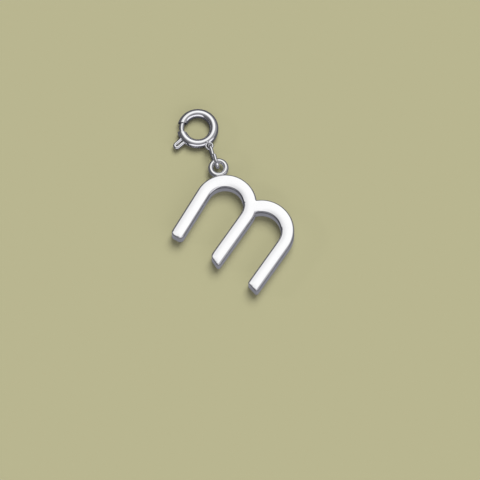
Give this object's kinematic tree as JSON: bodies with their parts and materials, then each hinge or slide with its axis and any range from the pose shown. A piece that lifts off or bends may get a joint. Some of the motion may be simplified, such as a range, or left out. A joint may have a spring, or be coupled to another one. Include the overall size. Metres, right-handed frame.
{
  "type": "initial pendant",
  "caption": "Polished silver pendant, a rounded lower-case letter with a soldered ring, an oval jump ring and a spring-ring clasp that slides open.",
  "frame": {"origin": "middle of the pendant's box, on the surface that it lies on", "axes": "+X across the letter in reading direction, +Y up along its legs towards the clasp, +Z out of its face"},
  "size_m": [0.0252, 0.0202, 0.0021],
  "materials": {
    "letter_silver": "cast sterling silver, rhodium plated and mirror polished, with fine handling scratches",
    "ring_silver": "polished round silver wire, closed by hand",
    "clasp_silver": "polished silver tube with a soldered eye",
    "bolt_silver": "polished silver wire, rubbed where it slides"
  },
  "bodies": {
    "charm": {"initial_letter": "letter_silver", "jump_ring": "ring_silver", "clasp_ring": "clasp_silver"},
    "bolt": {"clasp_bolt": "bolt_silver"}
  },
  "joints": [
    {"name": "bolt_slide", "type": "hinge", "parent": "charm", "child": "bolt", "pos_m": [-0.00954, 0.00698, 0.00067], "axis": [0, 0, 1], "range_deg": [0, 40], "stiffness_Nm_per_rad": 0.0004, "springref_deg": -20.05}
  ]
}
